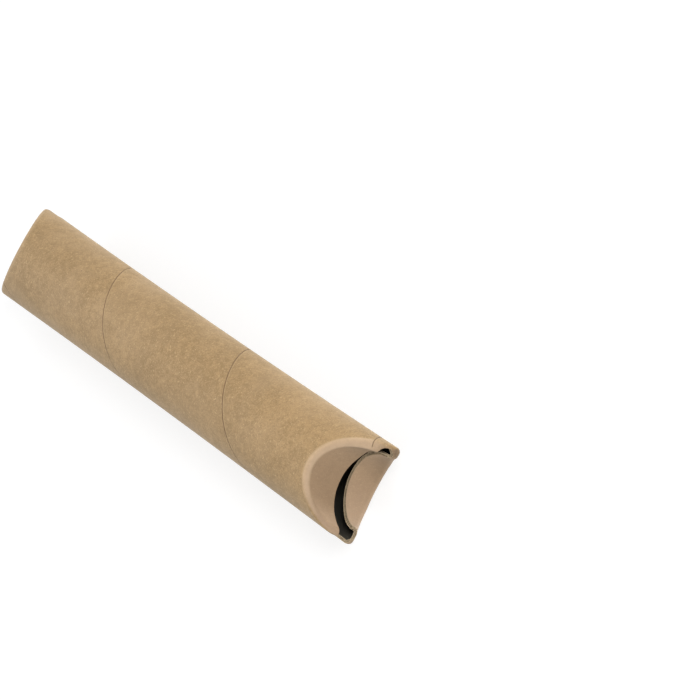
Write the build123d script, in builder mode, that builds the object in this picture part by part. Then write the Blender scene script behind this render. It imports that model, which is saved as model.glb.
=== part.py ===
from build123d import *
from math import ceil, cos, hypot, radians, sin, sqrt
import os

# Sizes of the tube, in millimetres
overall_length = 358.0
bore = 50.8
wall = 1.8

# How far the tube's sides stand out past a round tube's, at its middle and at its crimped ends
middle_spread = 0.3
end_spread = 1.4

# Groove where the edges of the outer ply meet, winding round as a right-handed spiral
seam_pitch = 122.4
seam_at_top = -52.0
seam_width = 0.6
seam_depth = 0.35

# Each end's closure: how far in from the tips of its two corners its flaps and creases reach
straight_flap_depth = 27.0
looped_flap_depth = 25.8
crease_depth = 28.0
crease_radius = 2.4

# Corners, where the wall turns back on itself into the flaps. One is slack, the other pressed tight
slack_inset = 4.8
slack_inner_bend = 4.4
slack_outer_bend = 5.2
tight_inset = 2.4
tight_inner_bend = 4.6
tight_outer_bend = 2.9
corner_turn = 80.0

# At the slack corner one flap makes the loop and the other runs straight on to the tube's side. How
# far its arc is inside the tube's half width
straight_inset = 2.1

# Mouth left between the two flaps: places across as shares of its half width, then distances from
# the axis towards the straight flap
straight_rim = [(-0.95, 6.0), (-0.86, 6.8), (-0.74, 4.8), (-0.58, 1.6), (-0.34, 0.9), (0.9, 0.6)]
looped_rim = [
    (0.94, -0.8), (0.84, -2.4), (0.7, -4.3), (0.53, -5.0), (0.11, -4.0), (-0.34, -2.0), (-0.62, -0.2),
    (-0.8, 0.6), (-0.93, 1.8),
]
mouth_tight_end = 3.4
mouth_slack_end = 0.0

# Thickness left at the corners, past the mouth's two ends
corner_wall = 2.0

# How far the creases' two planes meet past the tips of the corners
ridge_clearance = 0.5

# Room that a cutting shape keeps past the surface that it cuts
overcut = 3.0

outer_radius = bore / 2 + wall
half_length = overall_length / 2


def half_sizes(x, inset):
    """Half width and half height of the section at x, whose length round is the same all along."""
    spread = middle_spread + (end_spread - middle_spread) * (x / half_length) ** 2
    half_width = outer_radius + spread
    half_height = sqrt(2 * outer_radius**2 - half_width**2)
    return half_width - inset, half_height - inset


end_half_width, end_half_height = half_sizes(half_length, 0)
axis_height = end_half_height
mouth_half_width = end_half_width - corner_wall
slack_corner = (end_half_width - slack_inset, slack_inner_bend, slack_outer_bend)
tight_corner = (end_half_width - tight_inset, tight_inner_bend, tight_outer_bend)
straight_radius = end_half_width - straight_inset


def make_blank(inset):
    """The tube before its ends are pressed in, solid through. It lies along its whole length."""
    with BuildPart() as blank:
        for x in (-half_length - overcut, 0, half_length + overcut):
            half_width, half_height = half_sizes(x, inset)
            centre = (x, 0, half_height + inset)
            with BuildSketch(Plane(origin=centre, x_dir=(0, 1, 0), z_dir=(1, 0, 0))):
                with BuildLine():
                    EllipticalCenterArc((0, 0), half_width, half_height, start_angle=-90, arc_size=180)
                    EllipticalCenterArc((0, 0), half_width, half_height, start_angle=90, arc_size=180)
                make_face()
        loft()
    return blank.part


def looped_side(hand, corner, flap_depth, inset):
    """One side of a flap's outline, from its deepest point round a corner and out past the tube."""
    place, inner_bend, outer_bend = corner
    flap_radius = ((flap_depth - inner_bend) ** 2 + place**2 - inner_bend**2) / (2 * flap_depth)
    flap_centre = flap_depth - flap_radius
    share = (flap_radius + inset) / hypot(inner_bend - flap_centre, place)
    meeting = (flap_centre + share * (inner_bend - flap_centre), hand * share * place)
    tip = (inset, hand * place)
    turn = radians(corner_turn)
    outer_reach = outer_bend - inset
    turned = (outer_bend - outer_reach * cos(turn), hand * (place + outer_reach * sin(turn)))
    side = hand * (end_half_width + overcut)
    TangentArc((flap_depth + inset, 0), meeting, tangent=(0, hand))
    TangentArc(tip, meeting, tangent=(0, -hand))
    TangentArc(tip, turned, tangent=(0, hand))
    Polyline(turned, (turned[0], side), (-flap_depth, side), (-flap_depth, 0))


def straight_side(flap_depth, inset):
    """The slack side of a straight flap's outline, which runs on through the tube's side."""
    side = straight_radius + inset
    through = (flap_depth - straight_radius, side)
    TangentArc((flap_depth + inset, 0), through, tangent=(0, 1))
    Polyline(through, (-flap_depth, side), (-flap_depth, 0))


def make_hollow(is_looped):
    """The hollow that a flap of the +X end is pressed into, drawn from above."""
    flap_depth = looped_flap_depth if is_looped else straight_flap_depth
    with BuildPart() as hollow:
        with BuildSketch(Plane(origin=(half_length, 0, axis_height), x_dir=(-1, 0, 0), z_dir=(0, 0, 1))):
            with BuildLine():
                looped_side(-1, tight_corner, flap_depth, crease_radius)
                if is_looped:
                    looped_side(1, slack_corner, flap_depth, crease_radius)
                else:
                    straight_side(flap_depth, crease_radius)
            make_face()
        extrude(amount=outer_radius + overcut, both=True)
    return hollow.part


def make_half(keep):
    """The wall above or below the axis. Above it, the +X end's flap is straight and the other looped."""
    eave = outer_radius + overcut
    eave_depth = ridge_clearance + eave * crease_depth / end_half_height
    ridge = half_length - crease_radius + ridge_clearance
    front_is_looped = keep == Keep.BOTTOM
    front_hollow = make_hollow(front_is_looped)
    back_hollow = make_hollow(not front_is_looped).rotate(Axis.Z, 180)
    blank = make_blank(crease_radius)
    with BuildPart() as core:
        add(blank)
        add(front_hollow, mode=Mode.SUBTRACT)
        add(back_hollow, mode=Mode.SUBTRACT)
        with BuildSketch(Plane(origin=(0, 0, axis_height), x_dir=(1, 0, 0), z_dir=(0, -1, 0))):
            with BuildLine():
                Polyline(
                    (ridge, 0), (ridge - eave_depth, eave), (eave_depth - ridge, eave), (-ridge, 0),
                    (eave_depth - ridge, -eave), (ridge - eave_depth, -eave), close=True,
                )
            make_face()
        extrude(amount=eave, both=True, mode=Mode.INTERSECT)
    # Growing the sharp core rounds every crease, and two steps of growth leave an even wall
    outer_body = offset(core.part, amount=crease_radius, kind=Kind.ARC)
    inner_body = offset(core.part, amount=crease_radius - wall, kind=Kind.ARC)
    with BuildPart() as half:
        add(outer_body)
        add(inner_body, mode=Mode.SUBTRACT)
        split(bisect_by=Plane.XY.offset(axis_height), keep=keep)
    return half.part


def make_seam():
    """The groove, as a blade that winds round the tube, less the board under the groove's floor."""
    turns_before = ceil((half_length + seam_at_top) / seam_pitch)
    turns_after = ceil((half_length - seam_at_top) / seam_pitch)
    start = (seam_at_top - turns_before * seam_pitch, 0, axis_height)
    length = (turns_before + turns_after) * seam_pitch
    with BuildPart() as seam:
        with BuildLine():
            spiral = Helix(seam_pitch, length, outer_radius, center=start, direction=(1, 0, 0))
        with BuildSketch(Plane(origin=spiral @ 0, x_dir=(0, 0, 1), z_dir=spiral % 0)):
            Rectangle(2 * overcut, seam_width)
        sweep(is_frenet=True)
        add(make_blank(seam_depth), mode=Mode.SUBTRACT)
    return seam.part


lower_half = make_half(Keep.BOTTOM)
upper_half = make_half(Keep.TOP)
seam = make_seam()

straight_edge = [(share * mouth_half_width, away) for share, away in straight_rim]
looped_edge = [(share * mouth_half_width, away) for share, away in looped_rim]
tight_end = (-mouth_half_width, mouth_tight_end)
slack_end = (mouth_half_width, mouth_slack_end)

with BuildPart() as tube:
    add(lower_half)
    add(upper_half)
    for hand in (1, -1):
        end = (hand * half_length, 0, axis_height)
        with BuildSketch(Plane(origin=end, x_dir=(0, -hand, 0), z_dir=(-1, 0, 0))):
            with BuildLine():
                Spline(tight_end, *straight_edge, slack_end)
                Spline(slack_end, *looped_edge, tight_end)
            make_face()
        extrude(amount=hand * (straight_flap_depth + wall + overcut), mode=Mode.SUBTRACT)
    add(seam, mode=Mode.SUBTRACT)

tube.part.label = "tube"
os.makedirs("parts", exist_ok=True)
export_step(tube.part, "parts/tube.step")
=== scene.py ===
from math import radians, tau

import bmesh
import bpy
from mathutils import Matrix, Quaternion, Vector, noise
from mathutils.bvhtree import BVHTree


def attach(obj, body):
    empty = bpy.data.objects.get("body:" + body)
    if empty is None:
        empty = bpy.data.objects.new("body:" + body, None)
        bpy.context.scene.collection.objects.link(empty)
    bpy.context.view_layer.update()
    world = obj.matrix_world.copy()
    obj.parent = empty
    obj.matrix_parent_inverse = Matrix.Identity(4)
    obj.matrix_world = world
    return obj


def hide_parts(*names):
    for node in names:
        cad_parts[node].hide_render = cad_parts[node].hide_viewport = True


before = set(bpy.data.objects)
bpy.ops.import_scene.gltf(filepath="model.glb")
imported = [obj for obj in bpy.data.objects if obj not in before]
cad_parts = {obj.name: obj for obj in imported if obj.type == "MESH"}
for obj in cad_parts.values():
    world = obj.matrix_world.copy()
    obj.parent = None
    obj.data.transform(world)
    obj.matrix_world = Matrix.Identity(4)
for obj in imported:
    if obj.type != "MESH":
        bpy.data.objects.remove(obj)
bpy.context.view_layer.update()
scene = bpy.context.scene
print("frame loaded")


# Camera

view = {
    "place": (1.4108, 0.2288, 1.2579),
    "aim": (0.1110, 0.0579, 0.0259),
    "roll": -67.42,  # in degrees
    "lens": 173.4,  # in millimetres, as the sensor is
    "sensor": 36.0,
    "nearest": 0.05,
    "farthest": 20.0,
}


def makeCamera():
    data = bpy.data.cameras.new("view")
    data.sensor_width = view["sensor"]
    data.lens = view["lens"]
    data.clip_start = view["nearest"]
    data.clip_end = view["farthest"]
    camera = bpy.data.objects.new("view", data)
    scene.collection.objects.link(camera)
    place = Vector(view["place"])
    look = (Vector(view["aim"]) - place).to_track_quat("-Z", "Y")
    turn = look @ Quaternion((0, 0, 1), radians(view["roll"]))
    camera.location = place
    camera.rotation_euler = turn.to_euler()
    scene.camera = camera


makeCamera()
print("camera made")


# Shader maths: a value or a colour in a node tree, with the usual operators

class Flow:
    def __init__(self, tree, socket=None):
        self.tree = tree
        self.socket = socket

    def node(self, kind, inputs=None, output=0, **settings):
        made = self.tree.nodes.new(kind)
        for name, value in settings.items():
            setattr(made, name, value)
        for key, value in (inputs or {}).items():
            if isinstance(value, Flow):
                self.tree.links.new(value.socket, made.inputs[key])
            else:
                made.inputs[key].default_value = value
        return Flow(self.tree, made.outputs[output] if made.outputs else None)

    def math(self, operation, *others):
        values = dict(enumerate((self,) + others))
        return self.node("ShaderNodeMath", values, operation=operation)

    def __add__(self, other):
        return self.math("ADD", other)

    __radd__ = __add__

    def __sub__(self, other):
        return self.math("SUBTRACT", other)

    def __rsub__(self, other):
        return self * -1.0 + other

    def __mul__(self, other):
        return self.math("MULTIPLY", other)

    __rmul__ = __mul__

    def __truediv__(self, other):
        return self.math("DIVIDE", other)

    def vector(self, operation, *others, output=0):
        values = dict(enumerate((self,) + others))
        return self.node("ShaderNodeVectorMath", values, output, operation=operation)

    def axis(self, name):
        return self.node("ShaderNodeSeparateXYZ", {0: self}, name)

    def ramp(self, low, high, fromValue=0.0, toValue=1.0):
        values = {"Value": self, "From Min": low, "From Max": high, "To Min": fromValue, "To Max": toValue}
        return self.node("ShaderNodeMapRange", values, interpolation_type="SMOOTHSTEP")

    def noise(self, scale, detail, roughness, distortion=0.0):
        values = {
            "Vector": self, "Scale": scale, "Detail": detail,
            "Roughness": roughness, "Distortion": distortion,
        }
        return self.node("ShaderNodeTexNoise", values, "Fac")

    def mix(self, first, second):
        values = {"Factor": self, 6: first, 7: second}  # 6, 7 and output 2 are the sockets for colours
        return self.node("ShaderNodeMix", values, 2, data_type="RGBA")

    def bump(self, strength, distance):
        return self.node("ShaderNodeBump", {"Height": self, "Strength": strength, "Distance": distance})


def newMaterial(name):
    material = bpy.data.materials.new(name)
    material.use_nodes = True
    material.node_tree.nodes.clear()
    flow = Flow(material.node_tree)
    return material, flow, flow.node("ShaderNodeTexCoord", output="Object")


def blend(noises, shares):
    total = 0.0
    for name, share in shares.items():
        total = noises[name] * share + total
    return total


def uneven(noise, least, added):
    return noise * added + least


# In the dictionaries, a pair of numbers is where something starts to show and where it is whole. Two
# others: "strength" is the least there is and what a noise adds to it, and "bump" is strength and depth

axisHeight = 0.025724  # of the tube at its ends, and of the corners of both closures

# The seam: the outer ply's edges meet in a right-handed spiral

seam = {
    "start": -0.0826,  # along the tube, where the seam crosses its +Y side
    "pitch": 0.1224,
    "spacing": 0.813,  # between two turns, square to the seam, as a share of the pitch
    "width": 0.00028,
    "soft": 0.00026,
    "strength": (0.45, 0.5),
    "edgeHighlight": (0.0016, 0.0004),  # a painted highlight: a paler strip along one side of the line
    "edgeHighlightTurn": 0.012,  # how far round from the line that strip may reach, as a share of a turn
    "edgeHighlightShare": 0.35,
    "onTube": (0.0242, 0.0258),  # further in, the board belongs to a flap
}

# The creases: each closure's own lie in two slanting planes that meet at the tube's tips

crease = {
    "tip": 0.1795,
    "slope": 1.089,
    "near": (0.0030, 0.0004),
    "heights": (0.003, 0.011),
    "strength": (0.45, 0.4),
    "looped": 0.35,  # how strong the looped flap's painted crease highlight is beside the straight flap's
}

# The corners' ends, made darker in colour

tips = {
    "along": (0.1768, 0.1786),
    "across": (0.0190, 0.0225),
    "grain": (0.3, 0.6),
    "strength": (0.25, 0.5),
}


def creaseNear(point):
    height = (point.axis("Z") - axisHeight).math("ABSOLUTE")
    depth = crease["tip"] - point.axis("X").math("ABSOLUTE")
    near = (depth - height * crease["slope"]).ramp(*crease["near"])
    return near * height.ramp(*crease["heights"])


def tipNear(point):
    along = point.axis("X").math("ABSOLUTE").ramp(*tips["along"])
    return along * point.axis("Y").math("ABSOLUTE").ramp(*tips["across"])


def seamPhase(point):
    across = point.axis("Y")
    height = point.axis("Z") - axisHeight
    turn = height.math("ARCTAN2", across) / tau
    along = (point.axis("X") - seam["start"]) / seam["pitch"]
    radius = (across * across + height * height).math("SQRT")
    return (along - turn).math("FRACT"), radius


# Kraft board. A noise is given by its scale, detail and roughness, and its distortion if it has any

kraft = {
    "light": (0.482, 0.318, 0.152, 1.0),
    "dark": (0.336, 0.220, 0.102, 1.0),
    "fleck": (0.660, 0.485, 0.265, 1.0),
    "speck": (0.170, 0.105, 0.055, 1.0),
    "blush": (0.470, 0.330, 0.190, 1.0),
    "ridge": (0.700, 0.525, 0.355, 1.0),
    "darkTip": (0.175, 0.120, 0.072, 1.0),
    "seam": (0.120, 0.066, 0.028, 1.0),
    "seamEdgeHighlight": (0.560, 0.400, 0.220, 1.0),
    "noises": {
        "broad": (30.0, 2.0, 0.5),
        "cloud": (240.0, 4.0, 0.7),
        "grain": (1100.0, 3.0, 0.7),
        "tooth": (2600.0, 2.0, 0.6),
    },
    "tone": {"broad": 0.2, "cloud": 0.35, "grain": 0.45},  # how much of each noise
    "contrast": (0.39, 0.61),
    "relief": {"grain": 0.35, "cloud": 0.3, "tooth": 0.35},
    "bump": (0.14, 0.0004),
    "roughness": (0.72, 0.62),  # of the darkest board and of the lightest
    "finish": {
        "Diffuse Roughness": 0.9, "Specular IOR Level": 0.3, "Sheen Weight": 0.22, "Sheen Roughness": 0.4,
        "Sheen Tint": (1.0, 0.94, 0.84, 1.0),
    },
}

# Marks on the board, each laid over the ones before it where its noise is high

marks = {
    "patches": {
        "colour": kraft["blush"], "share": 0.25, "range": (0.42, 0.66),
        "noise": (26.0, 3.0, 0.6), "stretch": (1.0, 1.0, 1.0), "shift": (0.7, 5.2, 2.3),
    },
    "flecks": {
        "colour": kraft["fleck"], "share": 0.9, "range": (0.58, 0.72),
        "noise": (900.0, 4.0, 0.7), "stretch": (1.0, 1.0, 1.0), "shift": (0.0, 0.0, 0.0),
    },
    "fibres": {
        "colour": kraft["fleck"], "share": 0.65, "range": (0.61, 0.72),
        "noise": (1900.0, 2.0, 0.5, 0.4), "stretch": (1.0, 0.35, 0.35), "shift": (0.0, 0.0, 0.0),
    },
    "specks": {
        "colour": kraft["speck"], "share": 0.6, "range": (0.71, 0.76),
        "noise": (760.0, 2.0, 0.5), "stretch": (1.0, 1.0, 1.0), "shift": (3.1, 1.7, 0.4),
    },
}

# The flaps' board, with painted shade on the straight flap and painted light towards the tube's -Y side at
# both ends

flap = {
    # painted shade: the straight flap is darker than the looped flap
    "straight": (0.345, 0.236, 0.154, 1.0),
    "looped": (0.425, 0.295, 0.193, 1.0),
    "paintedLight": (0.520, 0.375, 0.266, 1.0),
    "straightPaintedLight": (-0.013, -0.026),
    "loopedPaintedLight": (0.014, -0.022),
    "straightSide": (-0.0005, 0.0005),  # heights past the axis, on the straight flap's side
    "facing": (0.35, 0.8),  # how much the board faces along the tube
    "radius": (0.0250, 0.0235),
    "share": 0.7,
}


# Painted shade on the straight flap, and painted light growing paler towards -Y on both flaps
def flapBoard(point, onStraight):
    across = point.axis("Y")
    straight = across.ramp(*flap["straightPaintedLight"]).mix(flap["straight"], flap["paintedLight"])
    looped = across.ramp(*flap["loopedPaintedLight"]).mix(flap["looped"], flap["paintedLight"])
    return onStraight.mix(looped, straight)


def addSeam(colour, cloud, phase, radius):
    spacing = seam["pitch"] * seam["spacing"]
    away = (phase - 0.5).math("ABSOLUTE") * -spacing + spacing * 0.5  # from the nearest turn
    onTube = radius.ramp(*seam["onTube"])
    halfWidth = seam["width"] * 0.5
    line = away.ramp(halfWidth + seam["soft"], halfWidth) * onTube
    # A painted highlight along one side of the line
    edgeHighlight = phase.math("COMPARE", 0.0, seam["edgeHighlightTurn"]) * onTube * away.ramp(*seam["edgeHighlight"])
    colour = (edgeHighlight * seam["edgeHighlightShare"]).mix(colour, kraft["seamEdgeHighlight"])
    return (line * uneven(cloud, *seam["strength"])).mix(colour, kraft["seam"])


def makeKraft(name):
    material, flow, point = newMaterial(name)
    noises = {key: point.noise(*values) for key, values in kraft["noises"].items()}
    cloud, grain = noises["cloud"], noises["grain"]
    tone = blend(noises, kraft["tone"]).ramp(*kraft["contrast"])
    colour = tone.mix(kraft["dark"], kraft["light"])
    for mark in marks.values():
        pattern = point.vector("MULTIPLY_ADD", mark["stretch"], mark["shift"]).noise(*mark["noise"])
        colour = (pattern.ramp(*mark["range"]) * mark["share"]).mix(colour, mark["colour"])

    # The straight flap is above the axis at the near end, and below it at the far end
    above = (point.axis("Z") - axisHeight) * point.axis("X").math("SIGN")
    onStraight = above.ramp(*flap["straightSide"])
    phase, radius = seamPhase(point)
    facing = flow.node("ShaderNodeNewGeometry", output="Normal").axis("X").math("ABSOLUTE")
    onFlap = facing.ramp(*flap["facing"]).math("MAXIMUM", radius.ramp(*flap["radius"]))
    colour = (onFlap * flap["share"]).mix(colour, flapBoard(point, onStraight))

    # Creases: a paler burnished line, brightened further as a painted highlight, strongest on the straight
    # flap
    onRidge = creaseNear(point) * onStraight.ramp(0.0, 1.0, crease["looped"], 1.0)
    colour = (onRidge * uneven(cloud, *crease["strength"])).mix(colour, kraft["ridge"])
    onTip = tipNear(point) * uneven(grain.ramp(*tips["grain"]), *tips["strength"])
    colour = addSeam(onTip.mix(colour, kraft["darkTip"]), cloud, phase, radius)

    shader = flow.node("ShaderNodeBsdfPrincipled", {
        **kraft["finish"],
        "Base Color": colour,
        "Roughness": tone.ramp(0.0, 1.0, *kraft["roughness"]),
        "Normal": blend(noises, kraft["relief"]).bump(*kraft["bump"]),
    })
    flow.node("ShaderNodeOutputMaterial", {"Surface": shader})
    return material


# Inside of the tube: greyer board, with no outer ply, and painted shade deeper in from the mouths

liner = {
    "light": (0.085, 0.078, 0.060, 1.0),
    "dark": (0.045, 0.042, 0.032, 1.0),
    "inside": (0.034, 0.031, 0.024, 1.0),
    "ends": (0.160, 0.176),  # beside the mouths, where the light and dark colours take over from the painted shade
    "noise": (700.0, 4.0, 0.7),
    "contrast": (0.35, 0.65),
    "bump": (0.2, 0.0004),
    "finish": {"Roughness": 0.85, "Specular IOR Level": 0.25},
}


def makeLiner(name):
    material, flow, point = newMaterial(name)
    grain = point.noise(*liner["noise"])
    colour = grain.ramp(*liner["contrast"]).mix(liner["dark"], liner["light"])
    # Deeper in from the mouths the colour is painted shade
    nearEnd = point.axis("X").math("ABSOLUTE").ramp(*liner["ends"])
    shader = flow.node("ShaderNodeBsdfPrincipled", {
        **liner["finish"],
        "Base Color": nearEnd.mix(liner["inside"], colour),
        "Normal": grain.bump(*liner["bump"]),
    })
    flow.node("ShaderNodeOutputMaterial", {"Surface": shader})
    return material


# Cut edge of the board, where its plies show. "ply" runs from 0 at the outer face to 1 at the inner

cutEdge = {
    "pale": (0.560, 0.435, 0.280, 1.0),
    "grey": (0.390, 0.300, 0.190, 1.0),
    "gap": (0.085, 0.062, 0.038, 1.0),
    "gaps": (0.36, 0.68),  # where each lies, as "ply" counts
    "gapHalfWidth": 0.055,
    "strength": (0.4, 0.5),
    "wander": 0.12,
    "wanderNoise": (260.0, 3.0, 0.6),
    "grainNoise": (1400.0, 3.0, 0.7),
    "contrast": (0.36, 0.64),
    "brokenNoise": (330.0, 2.0, 0.5),
    "unbroken": (0.38, 0.52),
    "grainHeight": 0.5,  # beside the gaps' depth
    "bump": (0.5, 0.0003),
    "finish": {"Roughness": 0.85, "Specular IOR Level": 0.25},
}


def makeCutEdge(name):
    material, flow, point = newMaterial(name)
    ply = flow.node("ShaderNodeAttribute", output="Fac", attribute_name="ply")
    ply = ply + (point.noise(*cutEdge["wanderNoise"]) - 0.5) * cutEdge["wander"]
    grain = point.noise(*cutEdge["grainNoise"])
    colour = grain.ramp(*cutEdge["contrast"]).mix(cutEdge["grey"], cutEdge["pale"])
    dark = 0.0
    for place in cutEdge["gaps"]:
        near = (ply - place).math("ABSOLUTE").ramp(cutEdge["gapHalfWidth"] * 2.0, cutEdge["gapHalfWidth"])
        dark = near + dark
    unbroken = point.noise(*cutEdge["brokenNoise"]).ramp(*cutEdge["unbroken"])
    dark = (dark * uneven(unbroken, *cutEdge["strength"])).math("MINIMUM", 1.0)
    shader = flow.node("ShaderNodeBsdfPrincipled", {
        **cutEdge["finish"],
        "Base Color": dark.mix(colour, cutEdge["gap"]),
        "Normal": (grain * cutEdge["grainHeight"] - dark).bump(*cutEdge["bump"]),
    })
    flow.node("ShaderNodeOutputMaterial", {"Surface": shader})
    return material


# The board itself: the tube's own mesh, with its mouths' rims worked into plies

rim = {
    "reach": 0.0315,  # how far in from the tube's ends the rims lie
    "halfWidth": 0.0267,
    "below": 0.007,
    "above": 0.0075,
    "flatness": 0.03,  # a cut face runs along the tube
    "wallRadius": 0.0248,
    "wallFacing": 0.85,  # past that radius, a face that turns this much to or from the axis is the wall
    "grooveRadius": 0.0262,
    "grooveFacing": 0.4,  # a side of the seam's groove turns at least this much along the tube
    "innerFacing": 0.9,  # the plain inside turns at least this much towards the axis
    "passes": 4,
    "edge": 0.00055,  # longer edges are halved
    "furrow": 0.00020,
    "furrowWidth": 0.14,  # as a share of the board's thickness
    "grain": 900.0,
    "rough": 0.00012,
}

faceKinds = {"outer": 0, "inner": 1, "cut": 2}
bendLimit = radians(45)  # a sharper edge ends a face of the board
mergeDistance = 1e-6
leastThickness = 1e-7


def spokeTo(place):
    return Vector((0.0, place.y, place.z - axisHeight))


def isCut(face, endPlace):
    middle = face.calc_center_median()
    spoke = spokeTo(middle)
    if abs(face.normal.x) > rim["flatness"] or abs(middle.x) < endPlace - rim["reach"]:
        return False
    if spoke.length > rim["wallRadius"] and abs(spoke.normalized().dot(face.normal)) > rim["wallFacing"]:
        return False
    up = spoke.z if middle.x > 0 else -spoke.z  # the far mouth is upside down
    return abs(spoke.y) < rim["halfWidth"] and -rim["below"] < up < rim["above"]


def isGroove(face):
    radius = spokeTo(face.calc_center_median()).length
    return radius > rim["grooveRadius"] and abs(face.normal.x) > rim["grooveFacing"]


def isPlainInside(face, endPlace):
    middle = face.calc_center_median()
    facing = spokeTo(middle).normalized().dot(face.normal)
    return abs(middle.x) < endPlace - rim["reach"] and facing < -rim["innerFacing"]


# Every face that is reached from the seeds without crossing a sharp edge or a blocked face

def spread(seeds, blocked):
    found, waiting = set(seeds), list(seeds)
    while waiting:
        for edge in waiting.pop().edges:
            if edge.calc_face_angle(0.0) < bendLimit:
                fresh = [face for face in edge.link_faces if face not in found and face not in blocked]
                found.update(fresh)
                waiting.extend(fresh)
    return found


def sortFaces(work):
    endPlace = max(vert.co.x for vert in work.verts)
    cut = {face for face in work.faces if isCut(face, endPlace)}
    inner = spread([face for face in work.faces if isPlainInside(face, endPlace)], cut)
    outer = spread([max(work.faces, key=lambda face: face.calc_center_median().z)], cut)
    for face in work.faces:
        onEnd = abs(face.calc_center_median().x) > endPlace - rim["reach"]
        if face in inner:
            face.material_index = faceKinds["inner"]
        elif onEnd and face not in outer and not isGroove(face):
            face.material_index = faceKinds["cut"]
        else:
            face.material_index = faceKinds["outer"]


def facesOf(work, kind):
    return [face for face in work.faces if face.material_index == faceKinds[kind]]


def treeOf(faces):
    places, sides = [], []
    for face in faces:
        sides.append(range(len(places), len(places) + len(face.verts)))
        places.extend(vert.co.copy() for vert in face.verts)
    return BVHTree.FromPolygons(places, [list(side) for side in sides])


# Splits an edge and each face beside it, so that no corner is left on the side of a face

def halve(edge):
    middle = bmesh.utils.edge_split(edge, edge.verts[0], 0.5)[1]
    for face in list(middle.link_faces):
        loop = next(loop for loop in face.loops if loop.vert is middle)
        bmesh.utils.face_split(face, middle, loop.link_loop_next.link_loop_next.vert)


def halveLongEdges(work, kind):
    for number in range(rim["passes"]):
        long = [
            edge for edge in work.edges
            if edge.calc_length() > rim["edge"]
            and any(face.material_index == faceKinds[kind] for face in edge.link_faces)
        ]
        for edge in sorted(long, key=lambda edge: -edge.calc_length()):
            halve(edge)
        print("edges halved in pass", number + 1, "on the rims:", len(long))


def cutPlies(work):
    outerTree, innerTree = treeOf(facesOf(work, "outer")), treeOf(facesOf(work, "inner"))
    cutIndex = faceKinds["cut"]
    halveLongEdges(work, "cut")
    work.normal_update()
    ply = work.verts.layers.float.new("ply")
    moves = {}
    for vert in work.verts:
        kinds = {face.material_index for face in vert.link_faces}
        if cutIndex not in kinds:
            vert[ply] = float(faceKinds["inner"] in kinds)
            continue
        toOuter, toInner = outerTree.find_nearest(vert.co)[3], innerTree.find_nearest(vert.co)[3]
        vert[ply] = toOuter / max(toOuter + toInner, leastThickness)
        if len(kinds) == 1:
            near = min(abs(vert[ply] - place) for place in cutEdge["gaps"])
            depth = rim["furrow"] * max(0.0, 1.0 - near / rim["furrowWidth"])
            moves[vert] = vert.normal * (noise.noise(vert.co * rim["grain"]) * rim["rough"] - depth)
    for vert, move in moves.items():
        vert.co += move


# The solid's own surface normals are kept in an attribute while the mesh is worked on

def storeNormals(mesh):
    truth = mesh.attributes.new("truth", "FLOAT_VECTOR", "CORNER")
    truth.data.foreach_set("vector", [value for corner in mesh.corner_normals for value in corner.vector])


def restoreNormals(mesh):
    if "custom_normal" in mesh.attributes:
        mesh.attributes.remove(mesh.attributes["custom_normal"])
    mesh.normals_split_custom_set([item.vector.copy() for item in mesh.attributes["truth"].data])
    mesh.attributes.remove(mesh.attributes["truth"])


def smooth(work):
    truth = work.loops.layers.float_vector["truth"]
    for face in work.faces:
        face.smooth = True
    for face in facesOf(work, "cut"):
        for loop in face.loops:
            loop[truth] = (0.0, 0.0, 0.0)  # worked out from the mesh instead
    for edge in work.edges:
        kinds = {face.material_index for face in edge.link_faces}
        edge.smooth = len(kinds) == 1 and edge.calc_face_angle(0.0) < bendLimit


def makeBoard(name, source, materials):
    mesh = source.data.copy()
    mesh.name = name
    mesh.materials.clear()
    for material in materials:
        mesh.materials.append(material)
    storeNormals(mesh)
    work = bmesh.new()
    work.from_mesh(mesh)
    bmesh.ops.remove_doubles(work, verts=work.verts, dist=mergeDistance)
    sortFaces(work)
    cutPlies(work)
    smooth(work)
    bmesh.ops.triangulate(work, faces=work.faces)
    print("faces cut across the board:", len(facesOf(work, "cut")))
    work.to_mesh(mesh)
    work.free()
    restoreNormals(mesh)
    piece = bpy.data.objects.new(name, mesh)
    scene.collection.objects.link(piece)
    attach(piece, "root")
    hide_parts("tube")


boardMaterials = [makeKraft("kraft_face"), makeLiner("kraft_liner"), makeCutEdge("kraft_cut_edge")]
makeBoard("tube_board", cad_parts["tube"], boardMaterials)
print("board made")


# Floor, backdrop and light. The white seen behind the tube doesn't light it

white = (1.0, 1.0, 1.0, 1.0)

ground = {
    "halfSize": 6.0,
    "matt": (0.62, 0.62, 0.62, 1.0),  # what the lamps light, and what lights the tube from below
    "shaded": (0.35, 0.35, 0.35, 1.0),  # the share of the floor in view that takes the tube's shadow
    "lift": 0.74,
    "far": 1.0,
    "away": (0.3, 0.9),  # distances from the origin over which the shadowed floor gives way to plain white
}

studio = {"room": 0.20, "backdrop": 1.0}


def seenDirectly(flow):
    names = ("Is Camera Ray", "Is Glossy Ray", "Is Transmission Ray")
    rays = [flow.node("ShaderNodeLightPath", output=name) for name in names]
    return rays[0].math("MAXIMUM", rays[1]).math("MAXIMUM", rays[2])


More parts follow.
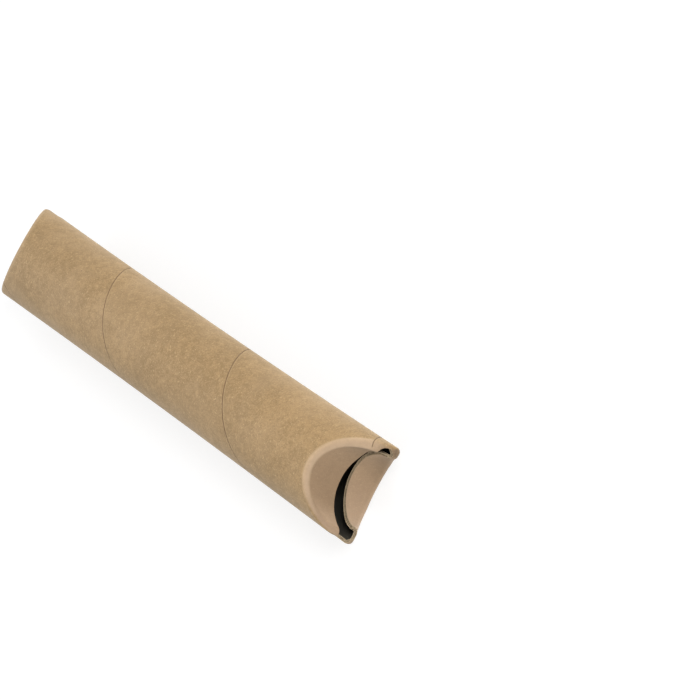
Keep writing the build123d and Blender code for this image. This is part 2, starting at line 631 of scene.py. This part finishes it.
def makeFloor():
    material, flow, point = newMaterial("floor_white")
    matt = flow.node("ShaderNodeBsdfDiffuse", {"Color": ground["matt"]})
    shaded = flow.node("ShaderNodeBsdfDiffuse", {"Color": ground["shaded"]})
    lift = flow.node("ShaderNodeEmission", {"Color": white, "Strength": ground["lift"]})
    near = flow.node("ShaderNodeAddShader", {0: shaded, 1: lift})
    far = flow.node("ShaderNodeEmission", {"Color": white, "Strength": ground["far"]})
    away = point.vector("LENGTH", output="Value").ramp(*ground["away"])
    seen = flow.node("ShaderNodeMixShader", {0: away, 1: near, 2: far})
    shader = flow.node("ShaderNodeMixShader", {0: seenDirectly(flow), 1: matt, 2: seen})
    flow.node("ShaderNodeOutputMaterial", {"Surface": shader})
    sheet = bmesh.new()
    bmesh.ops.create_grid(sheet, x_segments=1, y_segments=1, size=ground["halfSize"])
    mesh = bpy.data.meshes.new("floor")
    sheet.to_mesh(mesh)
    sheet.free()
    mesh.materials.append(material)
    floor = bpy.data.objects.new("floor", mesh)
    scene.collection.objects.link(floor)


def makeWorld():
    world = bpy.data.worlds.new("studio")
    world.use_nodes = True
    world.node_tree.nodes.clear()
    flow = Flow(world.node_tree)
    room = flow.node("ShaderNodeBackground", {"Color": white, "Strength": studio["room"]})
    backdrop = flow.node("ShaderNodeBackground", {"Color": white, "Strength": studio["backdrop"]})
    shader = flow.node("ShaderNodeMixShader", {0: seenDirectly(flow), 1: room, 2: backdrop})
    flow.node("ShaderNodeOutputWorld", {"Surface": shader})
    scene.world = world


lamps = {
    "key": {"place": (1.40, 0.75, 1.20), "aim": (0.05, 0.0, 0.02), "size": 0.9, "power": 24.0},
    "fill": {"place": (0.4, -1.6, 1.1), "aim": (0.0, 0.0, 0.02), "size": 1.2, "power": 12.5},
    "back": {"place": (-1.5, -0.3, 0.7), "aim": (-0.1, 0.0, 0.02), "size": 1.2, "power": 12.0},
    "edge": {"place": (-0.2, 1.8, 0.6), "aim": (0.0, 0.0, 0.02), "size": 1.2, "power": 12.0},
}


def makeLamps():
    for name, lamp in lamps.items():
        data = bpy.data.lights.new(name, "AREA")
        data.shape = "DISK"
        data.size = lamp["size"]
        data.energy = lamp["power"]
        item = bpy.data.objects.new(name, data)
        scene.collection.objects.link(item)
        item.location = lamp["place"]
        aim = Vector(lamp["aim"]) - Vector(lamp["place"])
        item.rotation_euler = aim.to_track_quat("-Z", "Y").to_euler()


makeFloor()
makeWorld()
makeLamps()
scene.view_settings.view_transform = "Standard"
print("stage made")
